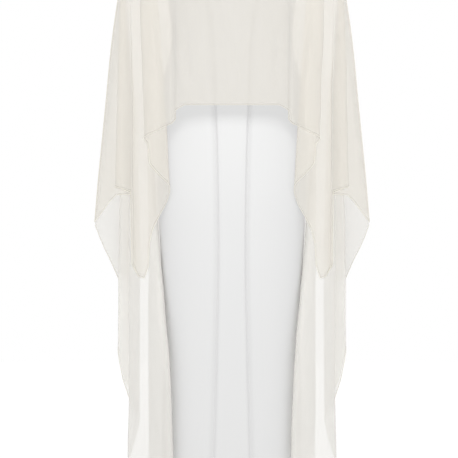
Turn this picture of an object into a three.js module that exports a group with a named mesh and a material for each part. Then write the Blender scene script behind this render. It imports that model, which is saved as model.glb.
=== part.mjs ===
// A kaftan gown: a panelled column dress in matt crepe under a sheer chiffon kaftan overlay.
// The overlay is cut as two wide rectangles joined along the shoulders and arms. Its front ends at the hips
// and its back falls to the floor, and both hang in long folds at the sides, where their hems cascade.
//
// Millimetres, +Z up, the front towards -Y, the wearer's left towards +X. The origin is midway between the
// two high shoulder points, where the wearer's shoulders hold the gown up.
// Each piece of cloth is a wall of even thickness round a grid of points: columns run down the cloth and rows
// run across it.
import * as THREE from "three";

// ---------------------------------------------------------------- driving dimensions
const CHIFFON_WALL = 1.6;
const CREPE_WALL = 2.0;
const SEAM_GAP = 0.3;
const DRESS_HEM = -1520;
const BACK_HEM = -1535;
const FRONT_HEM = -603;
const NECK_HALF_WIDTH = 88;
const FRONT_NECK_DROP = 85;
const BACK_NECK_DROP = 25;
const SHOULDER_LENGTH = 62;
const BINDING_HEIGHT = 8;
const BINDING_WALL = 2.4;
const BINDING_CLEARANCE = 1.1;
const BINDING_LEAN = 0.45;

// How finely the cloth is cut into rows, and how its rows crowd towards its top edge. Below its top edge a
// piece settles into its tables' places over SETTLE, or over SETTLE_SHARE of a short column.
const FRONT_ROWS = 12;
const BACK_ROWS = 16;
const DRESS_ROWS = 15;
const BINDING_STEPS = 36;
const EDGE_STEPS = 400;
const ROW_CROWDING = 1.5;
const UPPER_DROP = 280;
const UPPER_SHARE = 0.5;
const SETTLE = 130;
const SETTLE_SHARE = 0.7;

// ---------------------------------------------------------------- small maths

// A smooth value between table entries that never overshoots them. The keys fall from first to last.
function interpolate(keys, values, key) {
  const last = keys.length - 1;
  if (key >= keys[0]) return values[0];
  if (key <= keys[last]) return values[last];
  let i = 0;
  while (key < keys[i + 1]) i++;
  const slope = (k) => (values[k + 1] - values[k]) / (keys[k + 1] - keys[k]);
  const tangent = (k) => {
    if (k === 0) return slope(0);
    if (k === last) return slope(last - 1);
    const before = slope(k - 1);
    const after = slope(k);
    return before * after <= 0 ? 0 : (2 * before * after) / (before + after);
  };
  const span = keys[i + 1] - keys[i];
  const t = (key - keys[i]) / span;
  return (
    values[i] * (1 + 2 * t) * (1 - t) * (1 - t) +
    values[i + 1] * t * t * (3 - 2 * t) +
    span * (tangent(i) * t * (1 - t) * (1 - t) + tangent(i + 1) * t * t * (t - 1))
  );
}

// Even steps between neighbouring rows of a table: fractions of the whole table, 0 at its first row and 1 at
// its last, with each row's own number of steps to the next.
function columnFractions(table) {
  const fractions = [0];
  for (let i = 0; i < table.length - 1; i++)
    for (let k = 1; k <= table[i].steps; k++)
      fractions.push((i + k / table[i].steps) / (table.length - 1));
  return fractions;
}

// ---------------------------------------------------------------- cloth walls

// The unit normal of a grid of points at one place, from its neighbours.
function gridNormal(grid, row, column) {
  const rowBefore = grid[Math.max(row - 1, 0)][column];
  const rowAfter = grid[Math.min(row + 1, grid.length - 1)][column];
  const columnBefore = grid[row][Math.max(column - 1, 0)];
  const columnAfter = grid[row][Math.min(column + 1, grid[row].length - 1)];
  const down = new THREE.Vector3().subVectors(rowAfter.at, rowBefore.at);
  const across = new THREE.Vector3().subVectors(columnAfter.at, columnBefore.at);
  return across.cross(down).normalize();
}

// A closed solid: two skins half a wall to each side of the grid, and a rim round the edge. A grid point may
// give its own direction for the rim, where two pieces meet at a mitred seam.
function clothWall(grid, thickness) {
  const rows = grid.length;
  const columns = grid[0].length;
  const positions = [];
  for (const side of [1, -1])
    for (let r = 0; r < rows; r++)
      for (let c = 0; c < columns; c++) {
        const direction = grid[r][c].rim ?? gridNormal(grid, r, c);
        const p = grid[r][c].at.clone().addScaledVector(direction, (side * thickness) / 2);
        positions.push(p.x, p.y, p.z);
      }
  const outer = (r, c) => r * columns + c;
  const inner = (r, c) => rows * columns + r * columns + c;
  const faces = [];
  const quad = (a, b, c, d) => faces.push(a, b, c, a, c, d);
  for (let r = 0; r < rows - 1; r++)
    for (let c = 0; c < columns - 1; c++) {
      quad(outer(r, c), outer(r, c + 1), outer(r + 1, c + 1), outer(r + 1, c));
      quad(inner(r, c), inner(r + 1, c), inner(r + 1, c + 1), inner(r, c + 1));
    }
  for (let c = 0; c < columns - 1; c++) {
    quad(outer(0, c), inner(0, c), inner(0, c + 1), outer(0, c + 1));
    quad(outer(rows - 1, c + 1), inner(rows - 1, c + 1), inner(rows - 1, c), outer(rows - 1, c));
  }
  for (let r = 0; r < rows - 1; r++) {
    quad(outer(r + 1, 0), inner(r + 1, 0), inner(r, 0), outer(r, 0));
    quad(outer(r, columns - 1), inner(r, columns - 1), inner(r + 1, columns - 1), outer(r + 1, columns - 1));
  }
  return facingOut(positions, faces);
}

// A buffer geometry whose faces point out of the closed body that they bound.
function facingOut(positions, faces) {
  const corner = (i) => new THREE.Vector3().fromArray(positions, 3 * i);
  let volume = 0;
  for (let i = 0; i < faces.length; i += 3)
    volume += corner(faces[i]).dot(corner(faces[i + 1]).cross(corner(faces[i + 2])));
  if (volume < 0)
    for (let i = 0; i < faces.length; i += 3) [faces[i], faces[i + 1]] = [faces[i + 1], faces[i]];
  const geometry = new THREE.BufferGeometry();
  geometry.setAttribute("position", new THREE.Float32BufferAttribute(positions, 3));
  geometry.setIndex(faces);
  geometry.computeVertexNormals();
  return geometry;
}

// ---------------------------------------------------------------- the top edges

// The neck opening, a closed curve from the centre front round the wearer's left side.
const NECK_POINTS = [
  { x: 0, y: -92, z: -FRONT_NECK_DROP },
  { x: 45, y: -80, z: -70 },
  { x: 76, y: -44, z: -34 },
  { x: NECK_HALF_WIDTH, y: 0, z: -8 },
  { x: 80, y: 34, z: -13 },
  { x: 48, y: 60, z: -22 },
  { x: 0, y: 70, z: -BACK_NECK_DROP },
];
const HIGH_SHOULDER_INDEX = 3;

// The seam that joins front to back, from the high shoulder point over the shoulder and down the arm to the
// sleeve's tip, where the overlay is widest.
const ARM_SEAM_POINTS = [
  { x: NECK_HALF_WIDTH, z: -8 },
  { x: 140, z: -23 },
  { x: 190, z: -43 },
  { x: 226, z: -68 },
  { x: 251, z: -108 },
  { x: 268, z: -165 },
  { x: 280, z: -240 },
  { x: 290.5, z: -330 },
  { x: 301.5, z: -406 },
  { x: 310.5, z: -483 },
  { x: 320, z: -584 },
  { x: 330, z: -686 },
  { x: 340, z: -787 },
  { x: 349, z: -894 },
];

const neckCurve = new THREE.CatmullRomCurve3(
  [
    ...NECK_POINTS.map((p) => new THREE.Vector3(p.x, p.y, p.z)),
    ...NECK_POINTS.slice(1, -1)
      .reverse()
      .map((p) => new THREE.Vector3(-p.x, p.y, p.z)),
  ],
  true,
  "centripetal",
);
const armSeam = new THREE.CatmullRomCurve3(
  ARM_SEAM_POINTS.map((p) => new THREE.Vector3(p.x, 0, p.z)),
  false,
  "centripetal",
);

// One side's top edge, measured in millimetres from the centre: along the neck to the high shoulder point,
// and then along the seam. `front` picks the front or the back of the neck. `inset` moves the edge in and
// down, for the dress that lies under the overlay.
function topEdge(front, inset = 0) {
  const neckStart = front ? 0 : 0.5;
  const neckEnd = HIGH_SHOULDER_INDEX / (2 * (NECK_POINTS.length - 1));
  const points = [];
  for (let i = 0; i <= EDGE_STEPS; i++)
    points.push(neckCurve.getPoint(THREE.MathUtils.lerp(neckStart, neckEnd, i / EDGE_STEPS)));
  const neckCount = points.length;
  for (let i = 1; i <= EDGE_STEPS; i++) points.push(armSeam.getPoint(i / EDGE_STEPS));
  const lengths = [0];
  for (let i = 1; i < points.length; i++) lengths.push(lengths[i - 1] + points[i].distanceTo(points[i - 1]));
  return {
    neckLength: lengths[neckCount - 1],
    length: lengths[lengths.length - 1],
    at(distance) {
      let i = 1;
      while (i < points.length - 1 && lengths[i] <= distance) i++;
      const t = (distance - lengths[i - 1]) / (lengths[i] - lengths[i - 1]);
      const p = points[i - 1].clone().lerp(points[i], THREE.MathUtils.clamp(t, 0, 1));
      const along = points[i].clone().sub(points[i - 1]).normalize();
      const outward = new THREE.Vector3(-along.z, 0, along.x);
      return { p: p.addScaledVector(outward, -inset), outward, onSeam: i >= neckCount };
    },
  };
}

// ---------------------------------------------------------------- the overlay

// Heights at which the fold tables below give each fold's place.
const FRONT_LEVELS = [-110, -330, -600, -900];
const BACK_LEVELS = [-110, -330, -650, -950, -1300, -1535];

// Names the columns of a fold table. Each row is a line down the cloth: `top` is its distance along the top
// edge, x and y are its places at the table's levels, `hem` is its lower end, and `steps` is the number of
// mesh columns to the next row.
function foldTable(rows) {
  return rows.map(([name, top, x, y, hem, steps]) => ({ name, top, x, y, hem, steps }));
}

// Half of the front, from its centre to the arm seam.
const FRONT_FOLDS = foldTable([
  ["centre", 0, [0, 0, 0, 0], [-118, -158, -166, -166], FRONT_HEM, 3],
  ["panel middle", 62, [52, 60, 65, 65], [-113, -154, -164, -164], FRONT_HEM, 3],
  ["panel side", 130, [98, 110, 118, 118], [-98, -143, -158, -158], FRONT_HEM, 2],
  ["panel roll", 164, [126, 138, 141, 141], [-90, -130, -146, -146], -617, 2],
  ["valley wall", 178, [141, 147, 141, 141], [-85, -121, -127, -125], -637, 1],
  ["valley", 190, [152, 157, 151, 151], [-83, -115, -116, -112], -648, 2],
  ["lap right", 204, [164, 172, 165, 170], [-82, -119, -126, -125], -654, 2],
  ["lap crest", 230, [187, 194, 188, 194], [-78, -124, -142, -144], -666, 2],
  ["lap left", 266, [214, 227, 218, 214], [-66, -110, -126, -128], -680, 1],
  ["lap turn", 270, [217, 231, 222, 217], [-62, -100, -112, -114], -686, 1],
  ["lap return", 274, [220, 224, 213, 208], [-59, -91, -101, -102], -698, 1],
  ["cascade edge", 277, [222, 218, 208, 205], [-57, -89, -99, -101], -746, 2],
  ["cascade middle", 282, [226, 202, 190, 183], [-54, -84, -96, -100], -771, 2],
  ["cascade turn", 290, [231, 188, 168, 150.5], [-50, -75, -86, -90], -806, 1],
  ["under right", 296, [235, 194, 177, 158], [-48, -66, -73, -76], -838, 2],
  ["under middle", 304, [239, 208, 197, 187], [-45, -62, -66, -66], -888, 1],
  ["tongue shoulder", 308, [241, 216, 207, 199], [-44, -61, -65, -65], -911, 1],
  ["tongue right", 312, [243, 222, 214, 208], [-42, -61, -64, -64], -948, 1],
  ["tongue side", 316, [245, 228, 218, 211], [-40, -61, -64, -64], -1004, 1],
  ["corner", 322, [248, 236, 228, 222], [-38, -61, -66, -65], -1036, 1],
  ["tongue left", 330, [251, 246, 241, 236], [-35, -62, -68, -66], -1031, 1],
  ["tongue fold", 336, [253, 255, 252, 249], [-33, -62, -69, -65], -1000, 1],
  ["tongue tuck", 339, [254, 256, 247, 242], [-32, -59, -60.5, -55], -1022, 1],
  ["side edge low", 343, [255, 260, 251.5, 253.5], [-31, -57.5, -57, -50], -1002, 1],
  ["side edge high", 346, [256, 262, 254.5, 256], [-30, -57.5, -60, -54], -816, 1],
  ["strip middle", 364, [260, 272, 275, 276], [-25, -61, -76, -78], -810, 2],
  ["strip edge", 406, [266, 283, 289, 296], [-18, -56, -72, -74], -805, 1],
  ["strip turn", 418, [267, 282, 287, 292], [-16, -49, -62, -62], -807, 1],
  ["strip return", 430, [268, 276, 277, 280], [-14, -43, -52, -51], -810, 2],
  ["inner turn", 456, [269, 267, 256, 252], [-12, -37, -42, -40], -824, 2],
  ["outer middle", 530, [270, 279, 279, 279], [-9, -25, -28, -27], -824, 1],
  ["outer corner", 610, [270, 284, 292, 294], [-7, -18, -24, -24], -826, 1],
  ["outer side", 740, [271, 289, 306, 311], [-5, -11, -18, -19], -843, 2],
  ["outer low", 940, [272, 291, 318, 333], [-4, -6, -10, -12], -872, 2],
  ["sleeve tip", 1130, [272, 291, 322, 349], [-3.5, -3.5, -3.5, -3.5], -894, 0],
]);

// Half of the back, from its centre to the arm seam.
const BACK_FOLDS = foldTable([
  ["spine", 0, [0, 0, 0, 0, 0, 0], [108, 134, 168, 186, 202, 218], BACK_HEM, 3],
  ["spine trough", 32, [29, 30, 31, 32, 33, 34], [106, 131, 156, 170, 180, 186], BACK_HEM, 3],
  ["inner crest", 66, [62, 62, 64, 66, 68, 70], [102, 129, 162, 184, 202, 222], BACK_HEM, 3],
  ["inner trough", 100, [94, 94, 98, 101, 104, 106], [96, 122, 145, 156, 162, 166], BACK_HEM, 3],
  ["outer crest", 138, [126, 128, 134, 138, 140, 142], [88, 118, 146, 164, 176, 190], BACK_HEM, 2],
  ["outer trough", 172, [158, 160, 166, 168, 170, 172], [78, 108, 126, 130, 128, 126], BACK_HEM, 2],
  ["flank", 204, [186, 188, 196, 202, 204, 206], [68, 100, 112, 106, 92, 86], BACK_HEM, 2],
  ["flank fold", 228, [206, 214, 218, 214, 213, 211], [60, 92, 100, 60, 34, 28], BACK_HEM, 1],
  ["flank turn", 234, [211, 214, 214, 204, 194, 192], [58, 82, 86, 24, -36, -48], BACK_HEM, 2],
  ["front turn", 240, [216, 212, 206, 184, 154, 146], [56, 74, 72, -26, -86, -94], BACK_HEM, 1],
  ["face inner", 247, [221, 219, 212, 196, 163, 155], [54, 70, 64, -36, -94, -102], BACK_HEM, 2],
  ["face middle", 262, [228, 238, 236, 232, 212, 208], [51, 68, 62, -8, -56, -62], BACK_HEM, 2],
  ["face outer", 282, [237, 256, 256, 255, 252, 256], [46, 68, 62, 20, -8, -12], BACK_HEM, 1],
  ["face turn", 290, [240, 261, 264, 263, 262, 267], [42, 69, 66, 30, 6, 4], -1512, 1],
  ["inside return", 297, [242.5, 263.5, 258, 255, 254, 259], [40, 70, 74, 42, 18, 16], -1482, 1],
  ["inside turn", 305, [245.5, 265.5, 244, 238, 238, 240], [38, 71, 80, 54, 32, 30], -1412, 1],
  ["inside back", 312, [247.5, 267.2, 243, 236, 236, 238], [36.5, 72, 88, 66, 44, 42], -1388, 1],
  ["lining run", 320, [249.5, 269, 256, 256, 256, 256], [35, 73, 90, 70, 50, 48], -1368, 1],
  ["edge corner", 327, [251.5, 271, 264, 266, 264, 264], [33.5, 74, 88, 68, 50, 48], -1341, 1],
  ["edge curve", 337, [254.5, 273.5, 274, 278, 279, 279], [31, 76, 86, 66, 50, 48], -1295, 1],
  ["edge fold", 348, [257, 275.5, 280, 288, 290, 290], [29, 79, 84, 66, 52, 50], -1236, 1],
  ["fold top", 354, [258.2, 276.6, 281, 290, 292, 292], [28, 82, 91, 74, 60, 58], -1212, 1],
  ["fold return", 360, [259.4, 277, 277, 285, 286, 286], [27, 85.5, 99, 84, 70, 68], -1246, 1],
  ["return curve", 368, [260.6, 277.2, 268, 273, 273, 273], [26, 89, 103, 88, 74, 72], -1300, 1],
  ["inner edge low", 376, [261.8, 277.4, 257.5, 255, 255, 255], [25, 92.5, 104, 90, 78, 76], -1338, 2],
  ["inner edge high", 390, [263.2, 279, 249, 249, 251, 251], [24, 97, 111.5, 97.5, 84, 82], -1062, 1],
  ["wing fold", 402, [265.4, 283.5, 256, 255, 255, 255], [22, 100, 121, 108.5, 98, 98], -1042, 1],
  ["wing inner", 440, [267.8, 288, 277, 276, 276, 276], [18, 93, 118, 108, 101, 101], -1040, 1],
  ["wing corner", 500, [269, 289, 293, 291, 291, 291], [13, 74, 101, 94, 91, 91], -1040, 1],
  ["wing middle", 640, [269, 289.6, 307, 309, 309, 309], [7, 42, 75, 68, 66, 66], -998, 2],
  ["wing side", 860, [271, 290, 321, 333, 333, 333], [5, 16, 38, 38, 38, 38], -945, 1],
  ["wing tip", 1010, [272, 291, 324, 344, 344, 344], [4, 6, 16, 20, 20, 20], -916, 1],
  ["sleeve tip", 1128, [272, 291, 325, 349, 349, 349], [3.5, 3.5, 3.5, 3.5, 3.5, 3.5], -902, 0],
]);

// The distance down a column of one length at a share of its rows. The upper rows are level from column to
// column and crowd towards the top edge, and the lower rows share out what is left.
function rowDrop(share, length) {
  const upper = Math.min(UPPER_DROP, length / 2);
  if (share <= UPPER_SHARE) return upper * (share / UPPER_SHARE) ** ROW_CROWDING;
  return THREE.MathUtils.lerp(upper, length, (share - UPPER_SHARE) / (1 - UPPER_SHARE));
}

// A wide panel of the overlay, both halves in one piece, hung from its top edge.
function overlayPanel(folds, levels, front, rowCount) {
  const edge = topEdge(front);
  const count = folds.length;
  const rowPlace = (row, z) =>
    new THREE.Vector3(interpolate(levels, row.x, z), interpolate(levels, row.y, z), z);

  // The section at one height through every fold, mirrored about the centre, at one fraction of the half
  // width.
  const section = (fraction, z) => {
    const half = folds.map((row) => rowPlace(row, z));
    const mirrored = half
      .slice(1)
      .reverse()
      .map((p) => new THREE.Vector3(-p.x, p.y, p.z));
    const curve = new THREE.CatmullRomCurve3([...mirrored, ...half], false, "centripetal");
    return curve.getPoint((1 + fraction) / 2);
  };

  const tableValue = (name, fraction) => {
    const place = fraction * (count - 1);
    const i = Math.min(Math.floor(place), count - 2);
    return THREE.MathUtils.lerp(folds[i][name], folds[i + 1][name], place - i);
  };

  const seamSide = front ? -1 : 1;
  const column = (fraction) => {
    const start = edge.at(Math.min(tableValue("top", fraction), edge.length));
    const top = start.p;
    const hem = tableValue("hem", fraction);
    const correction = top.clone().sub(section(fraction, top.z));
    const reach = Math.min(SETTLE, SETTLE_SHARE * (top.z - hem));
    const points = [];
    for (let r = 0; r <= rowCount; r++) {
      const z = top.z - rowDrop(r / rowCount, top.z - hem);
      const fade = (1 - Math.min((top.z - z) / reach, 1)) ** 2;
      const at = section(fraction, z).addScaledVector(correction, fade);
      at.z = z;
      points.push({ at });
    }
    if (start.onSeam) mitre(points[0], start.outward, seamSide);
    if (fraction === 1) points.forEach((p) => mitre(p, new THREE.Vector3(1, 0, 0), seamSide));
    return points;
  };

  const right = columnFractions(folds).map(column);
  const left = right.slice(1).reverse().map(mirrorColumn);
  return gridOfColumns([...left, ...right]);
}

// Sets a point in the seam's plane, half a seam gap to its side, with its rim in that plane.
function mitre(point, outward, side) {
  point.at.y = (side * SEAM_GAP) / 2;
  point.rim = outward.clone();
}

const mirrorVector = (v) => new THREE.Vector3(-v.x, v.y, v.z);

function mirrorColumn(points) {
  return points.map(({ at, rim }) => ({ at: mirrorVector(at), rim: rim && mirrorVector(rim) }));
}

// Turns a list of columns into a list of rows. Rims are turned to the side that the cloth's own normals take.
function gridOfColumns(columns) {
  const grid = columns[0].map((_, r) => columns.map((column) => ({ ...column[r] })));
  const middle = Math.floor(columns.length / 2);
  const facing = gridNormal(grid, Math.floor(grid.length / 2), middle);
  const outwardNormals = Math.sign(facing.y) === Math.sign(grid[Math.floor(grid.length / 2)][middle].at.y);
  if (!outwardNormals)
    for (const row of grid) for (const point of row) if (point.rim) point.rim = point.rim.clone().negate();
  return grid;
}

// ---------------------------------------------------------------- the dress

// Rings of the column dress: half its width, its reach to the front and back, and the front seams' distance
// from the centre.
const DRESS_RINGS = [
  { z: -20, halfWidth: 150, front: 66, back: 60, seam: 118 },
  { z: -110, halfWidth: 152, front: 92, back: 84, seam: 108 },
  { z: -215, halfWidth: 166, front: 116, back: 98, seam: 92 },
  { z: -280, halfWidth: 168, front: 122, back: 100, seam: 82 },
  { z: -420, halfWidth: 152, front: 108, back: 94, seam: 54 },
  { z: -600, halfWidth: 186, front: 116, back: 120, seam: 46 },
  { z: -800, halfWidth: 188, front: 118, back: 116, seam: 40 },
  { z: -965, halfWidth: 181, front: 112, back: 110, seam: 38.5 },
  { z: -1200, halfWidth: 174, front: 108, back: 108, seam: 43 },
  { z: DRESS_HEM, halfWidth: 178, front: 112, back: 116, seam: 52 },
];
const RING_SQUARENESS = 2.3;

// How far the armhole has dropped from the shoulder's end to the underarm, at fractions of its run round the
// ring.
const ARMHOLE_DROPS = [
  { fraction: 1, drop: 188 },
  { fraction: 0.8, drop: 168 },
  { fraction: 0.55, drop: 120 },
  { fraction: 0.3, drop: 60 },
  { fraction: 0, drop: 0 },
];
const SHOULDER_SHARE = 0.15;
const BACK_SHOULDER_SHARE = 0.55;
const SHOULDER_INSET = 4.8;
const NECK_SHRINK = 0.94;

const ringValue = (name, z) =>
  interpolate(
    DRESS_RINGS.map((ring) => ring.z),
    DRESS_RINGS.map((ring) => ring[name]),
    z,
  );

// A point on the dress: `angle` is 0 at the centre front, a quarter turn at the side seam and a half turn at
// the centre back.
function dressPoint(angle, z) {
  const power = 2 / RING_SQUARENESS;
  const sine = Math.sin(angle);
  const cosine = Math.cos(angle);
  const reach = ringValue(cosine >= 0 ? "front" : "back", z);
  return new THREE.Vector3(
    ringValue("halfWidth", z) * Math.sign(sine) * Math.abs(sine) ** power,
    -reach * Math.sign(cosine) * Math.abs(cosine) ** power,
    z,
  );
}

// The angle at a share of the way from the centre front to the front seam, at a height, with the seam moved
// sideways by `offset`.
function seamAngle(z, offset, share) {
  const x = share * (ringValue("seam", z) + offset);
  return Math.asin((x / ringValue("halfWidth", z)) ** (RING_SQUARENESS / 2));
}

// The dress's top edge on one side of the front or the back, over a run of columns from the share 0 to 1. It
// follows the neck and the shoulder as far as `shoulderShare`, and then the armhole down to the side seam.
function dressTop(front, startDistance, shoulderShare, angleAt) {
  const edge = topEdge(front, SHOULDER_INSET);
  const shoulderEnd = edge.neckLength + SHOULDER_LENGTH;
  const onEdge = (distance) => {
    const found = edge.at(distance);
    if (!found.onSeam) found.p.y *= NECK_SHRINK;
    return found;
  };
  return (share) => {
    if (share <= shoulderShare)
      return onEdge(THREE.MathUtils.lerp(startDistance, shoulderEnd, share / shoulderShare));
    const end = onEdge(shoulderEnd).p;
    const fraction = (share - shoulderShare) / (1 - shoulderShare);
    const drop = interpolate(
      ARMHOLE_DROPS.map((row) => row.fraction),
      ARMHOLE_DROPS.map((row) => row.drop),
      fraction,
    );
    const z = end.z - drop;
    const lift = end.clone().sub(dressPoint(angleAt(shoulderShare, end.z), end.z));
    return { p: dressPoint(angleAt(share, z), z).addScaledVector(lift, (1 - fraction) ** 2), onSeam: false };
  };
}

// A column of the dress from its top edge to the hem, along the ring angle that `angleAt` gives for each
// height.
function dressColumn(top, angleAt, front) {
  const points = [];
  const correction = top.p.clone().sub(dressPoint(angleAt(top.p.z), top.p.z));
  for (let r = 0; r <= DRESS_ROWS; r++) {
    const z = THREE.MathUtils.lerp(top.p.z, DRESS_HEM, (r / DRESS_ROWS) ** ROW_CROWDING);
    const fade = (1 - Math.min((top.p.z - z) / SETTLE, 1)) ** 2;
    const at = dressPoint(angleAt(z), z).addScaledVector(correction, fade);
    at.z = z;
    points.push({ at });
  }
  if (top.onSeam) mitre(points[0], top.outward, front ? -1 : 1);
  return points;
}

// The front seams start on the shoulder, this far past the high shoulder point.
const SEAM_TOP_PAST_NECK = 32;

// Column places from 0 to 1 that pass through each break, with its own number of even steps up to it.
function sharesThrough(breaks) {
  const shares = [0];
  for (const { share, steps } of breaks) {
    const start = shares[shares.length - 1];
    for (let k = 1; k <= steps; k++) shares.push(THREE.MathUtils.lerp(start, share, k / steps));
  }
  return shares;
}

function dressCentreFront() {
  const neckLength = topEdge(true).neckLength;
  const toSeam = neckLength + SEAM_TOP_PAST_NECK - SEAM_GAP / 2;
  const toShoulderEnd = (neckLength + SHOULDER_LENGTH) / toSeam;
  const angleAt = (share, z) => seamAngle(z, -SEAM_GAP / 2, share);
  const topAt = dressTop(true, 0, toShoulderEnd, angleAt);
  const shares = sharesThrough([
    { share: neckLength / toSeam, steps: 4 },
    { share: 1, steps: 1 },
  ]);
  const right = shares.map((share) => dressColumn(topAt(share), (z) => angleAt(share, z), true));
  return gridOfColumns([...right.slice(1).reverse().map(mirrorColumn), ...right]);
}

function dressSideFront() {
  const startDistance = topEdge(true).neckLength + SEAM_TOP_PAST_NECK + SEAM_GAP / 2;
  const angleAt = (share, z) => THREE.MathUtils.lerp(seamAngle(z, SEAM_GAP / 2, 1), Math.PI / 2, share);
  const topAt = dressTop(true, startDistance, SHOULDER_SHARE, angleAt);
  const shares = sharesThrough([
    { share: SHOULDER_SHARE, steps: 1 },
    { share: 1, steps: 7 },
  ]);
  const columns = shares.map((share) => dressColumn(topAt(share), (z) => angleAt(share, z), true));
  splitAtSideSeam(columns[columns.length - 1], -1);
  return gridOfColumns(columns);
}

function dressBack() {
  const neckLength = topEdge(false).neckLength;
  const angleAt = (share) => THREE.MathUtils.lerp(Math.PI, Math.PI / 2, share);
  const topAt = dressTop(false, 0, BACK_SHOULDER_SHARE, angleAt);
  const shares = sharesThrough([
    { share: (BACK_SHOULDER_SHARE * neckLength) / (neckLength + SHOULDER_LENGTH), steps: 3 },
    { share: BACK_SHOULDER_SHARE, steps: 2 },
    { share: 1, steps: 6 },
  ]);
  const right = shares.map((share) => dressColumn(topAt(share), () => angleAt(share), false));
  splitAtSideSeam(right[right.length - 1], 1);
  return gridOfColumns([...right.slice(1).reverse().map(mirrorColumn), ...right]);
}

// Puts a column half a seam gap to its own side of the side seam, with its rim straight out to the side.
function splitAtSideSeam(points, side) {
  for (const point of points) mitre(point, new THREE.Vector3(1, 0, 0), side);
}

// ---------------------------------------------------------------- the neck binding

// A narrow band that stands on the neck edge and leans in a little, all round.
function neckBinding() {
  const profile = [
    { out: -0.5, up: 0 },
    { out: 0.5, up: 0 },
    { out: 0.5, up: 0.75 },
    { out: 0, up: 1 },
    { out: -0.5, up: 0.75 },
  ];
  const positions = [];
  for (let i = 0; i < BINDING_STEPS; i++) {
    const p = neckCurve.getPoint(i / BINDING_STEPS);
    const along = neckCurve.getTangent(i / BINDING_STEPS);
    const out = new THREE.Vector3(p.x, p.y, 0).normalize();
    const up = new THREE.Vector3(0, 0, 1).addScaledVector(out, -BINDING_LEAN);
    up.addScaledVector(along, -up.dot(along)).normalize();
    const across = new THREE.Vector3().crossVectors(along, up).normalize();
    for (const corner of profile) {
      const q = p
        .clone()
        .addScaledVector(across, corner.out * BINDING_WALL)
        .addScaledVector(up, BINDING_CLEARANCE + corner.up * BINDING_HEIGHT);
      positions.push(q.x, q.y, q.z);
    }
  }
  const faces = [];
  const n = profile.length;
  for (let i = 0; i < BINDING_STEPS; i++)
    for (let k = 0; k < n; k++) {
      const a = i * n + k;
      const b = i * n + ((k + 1) % n);
      const c = ((i + 1) % BINDING_STEPS) * n + ((k + 1) % n);
      const d = ((i + 1) % BINDING_STEPS) * n + k;
      faces.push(a, b, c, a, c, d);
    }
  return facingOut(positions, faces);
}

// ---------------------------------------------------------------- materials and assembly

const crepe = new THREE.MeshStandardMaterial({ color: 0xedeeee, roughness: 0.72, metalness: 0 });
const chiffon = new THREE.MeshStandardMaterial({ color: 0xeae6da, roughness: 0.85, metalness: 0 });
const binding = new THREE.MeshStandardMaterial({ color: 0xe9e3d3, roughness: 0.8, metalness: 0 });

function piece(name, geometry, material) {
  const mesh = new THREE.Mesh(geometry, material);
  mesh.name = name;
  return mesh;
}

const mirrorGrid = (grid) => grid.map((row) => mirrorColumn(row).reverse());

const sideFront = dressSideFront();

const dress = new THREE.Group();
dress.add(
  piece("dress_centre_front", clothWall(dressCentreFront(), CREPE_WALL), crepe),
  piece("dress_side_front_left", clothWall(sideFront, CREPE_WALL), crepe),
  piece("dress_side_front_right", clothWall(mirrorGrid(sideFront), CREPE_WALL), crepe),
  piece("dress_back", clothWall(dressBack(), CREPE_WALL), crepe),
);

const overlay = new THREE.Group();
const overlayFront = overlayPanel(FRONT_FOLDS, FRONT_LEVELS, true, FRONT_ROWS);
const overlayBack = overlayPanel(BACK_FOLDS, BACK_LEVELS, false, BACK_ROWS);
overlay.add(
  piece("overlay_front", clothWall(overlayFront, CHIFFON_WALL), chiffon),
  piece("overlay_back", clothWall(overlayBack, CHIFFON_WALL), chiffon),
  piece("neck_binding", neckBinding(), binding),
);

const gown = new THREE.Group();
gown.add(dress, overlay);

export default gown;
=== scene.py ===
"""The looks of a kaftan gown: a panelled column dress in crepe under a sheer chiffon kaftan overlay.

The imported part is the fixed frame. A thin sheet of the same form stands for each of its solids, cut finer,
with its creases, seams, rolled hems and stitches. Tables are in millimetres, as a maker would write them,
and every mesh is in metres.
"""

from __future__ import annotations

import logging
import math
from collections.abc import Callable, Sequence
from dataclasses import dataclass, field
from enum import Enum

import bpy
import numpy as np
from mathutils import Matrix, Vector

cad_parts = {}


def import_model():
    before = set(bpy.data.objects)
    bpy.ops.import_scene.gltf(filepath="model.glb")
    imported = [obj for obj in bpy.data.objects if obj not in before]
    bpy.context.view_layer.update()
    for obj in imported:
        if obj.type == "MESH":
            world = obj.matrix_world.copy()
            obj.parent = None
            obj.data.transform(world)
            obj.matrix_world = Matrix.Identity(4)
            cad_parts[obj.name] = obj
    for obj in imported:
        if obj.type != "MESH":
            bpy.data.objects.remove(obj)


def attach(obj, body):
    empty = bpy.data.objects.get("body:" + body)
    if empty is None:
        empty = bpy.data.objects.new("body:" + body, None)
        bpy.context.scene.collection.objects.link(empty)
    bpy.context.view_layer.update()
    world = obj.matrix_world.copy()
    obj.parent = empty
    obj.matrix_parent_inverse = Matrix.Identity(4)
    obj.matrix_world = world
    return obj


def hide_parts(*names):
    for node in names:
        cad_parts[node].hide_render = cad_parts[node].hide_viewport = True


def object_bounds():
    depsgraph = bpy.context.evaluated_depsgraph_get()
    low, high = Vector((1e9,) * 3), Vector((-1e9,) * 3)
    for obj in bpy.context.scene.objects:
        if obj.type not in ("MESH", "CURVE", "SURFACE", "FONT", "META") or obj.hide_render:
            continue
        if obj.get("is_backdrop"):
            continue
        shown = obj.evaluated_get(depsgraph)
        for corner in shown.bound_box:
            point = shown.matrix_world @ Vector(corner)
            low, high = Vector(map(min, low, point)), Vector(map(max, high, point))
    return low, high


LOG = logging.getLogger("kaftan")

MM = 0.001
BODY = "root"

Points = np.ndarray


class Face(Enum):
    """Which side of the gown a panel hangs on, as the sign of its Y."""

    FRONT = -1
    BACK = 1


# ---------------------------------------------------------------- small maths

# Two control points of a spline that are closer than this count as one.
SAME_POINT = 1e-4


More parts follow.
